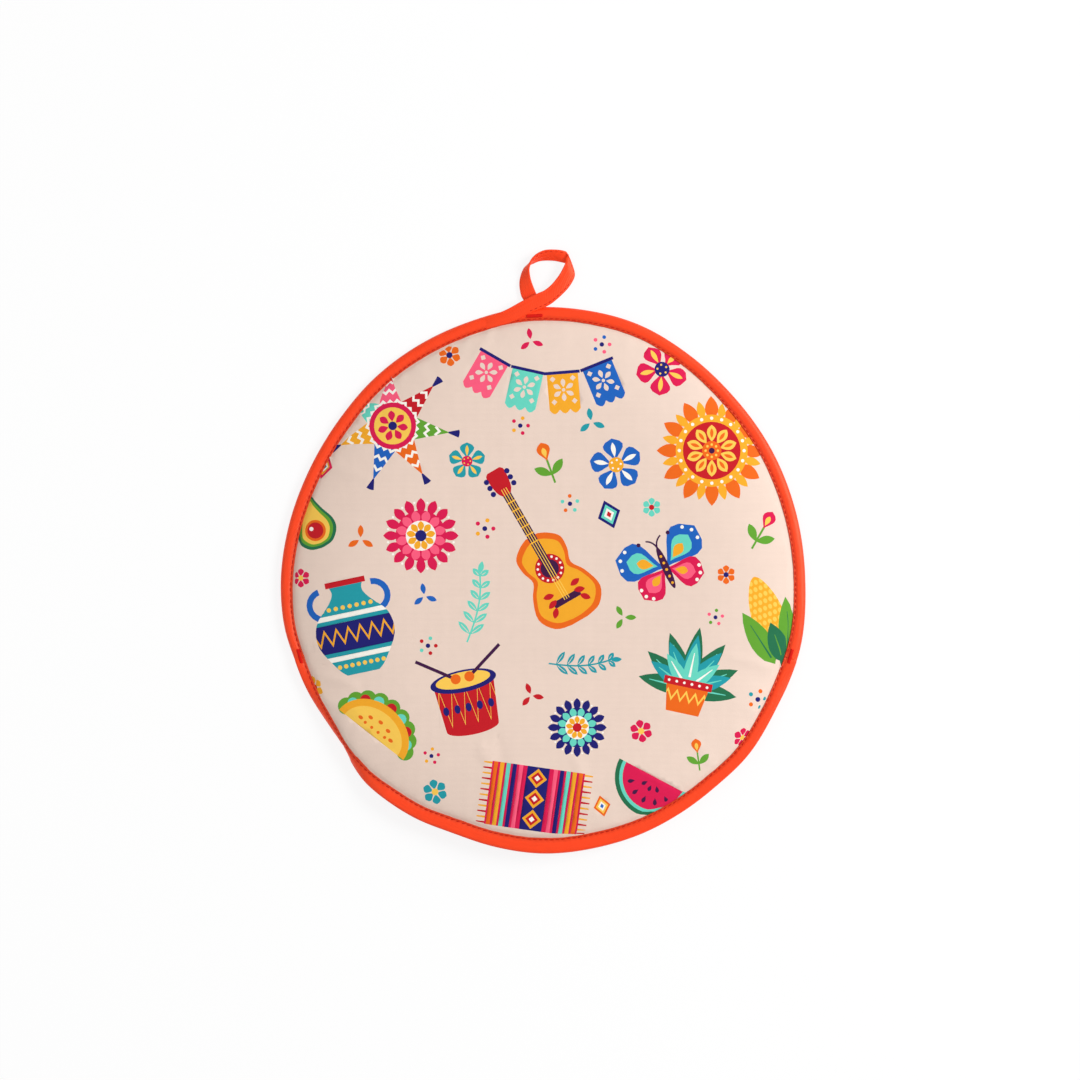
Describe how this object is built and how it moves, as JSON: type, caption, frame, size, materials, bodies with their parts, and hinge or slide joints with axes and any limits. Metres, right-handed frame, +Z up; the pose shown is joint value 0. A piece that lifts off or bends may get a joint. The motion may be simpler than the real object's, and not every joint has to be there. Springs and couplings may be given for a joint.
{
  "type": "tortilla warmer",
  "caption": "Round padded cloth pouch with bound edges, a mouth along the bottom and a hanging loop, for keeping tortillas warm.",
  "frame": {"origin": "centre of the back panel's flat underside, on the surface that the pouch lies on", "axes": "+Z up out of the printed front, +Y towards the hanging loop, +X to the right of someone who looks at the front"},
  "size_m": [0.305, 0.3434, 0.019],
  "materials": {
    "printed_cloth": "matte printed polyester",
    "lining_cloth": "matte plain cloth",
    "batting": "soft matte fibre",
    "binding_tape": "satin bias tape",
    "seam_thread": "satin thread",
    "tack_thread": "satin thread"
  },
  "bodies": {
    "pouch": {"back_shell": "printed_cloth", "back_batting": "batting", "back_lining": "lining_cloth", "front_shell": "printed_cloth", "front_batting": "batting", "front_lining": "lining_cloth", "edge_binding": "binding_tape", "edge_stitching_front": "seam_thread", "edge_stitching_back": "seam_thread", "back_mouth_binding": "binding_tape", "back_mouth_stitching": "seam_thread", "bar_tack_left": "tack_thread", "bar_tack_right": "tack_thread", "loop_tack": "tack_thread", "loop_base": "binding_tape"},
    "front_flap": {"flap_shell": "printed_cloth", "flap_batting": "batting", "flap_lining": "lining_cloth", "flap_binding": "binding_tape", "flap_stitching": "seam_thread"},
    "hanging_loop": {"hanging_loop": "binding_tape", "loop_stitching": "seam_thread"}
  },
  "joints": [
    {"name": "mouth_flap", "type": "hinge", "parent": "pouch", "child": "front_flap", "pos_m": [0, -0.04586, 0.0152], "axis": [-1, 0, 0], "range_deg": [0, 150]},
    {"name": "loop_swing", "type": "hinge", "parent": "pouch", "child": "hanging_loop", "pos_m": [0, 0.1584, 0.0031], "axis": [1, 0, 0], "range_deg": [-90, 90]}
  ]
}
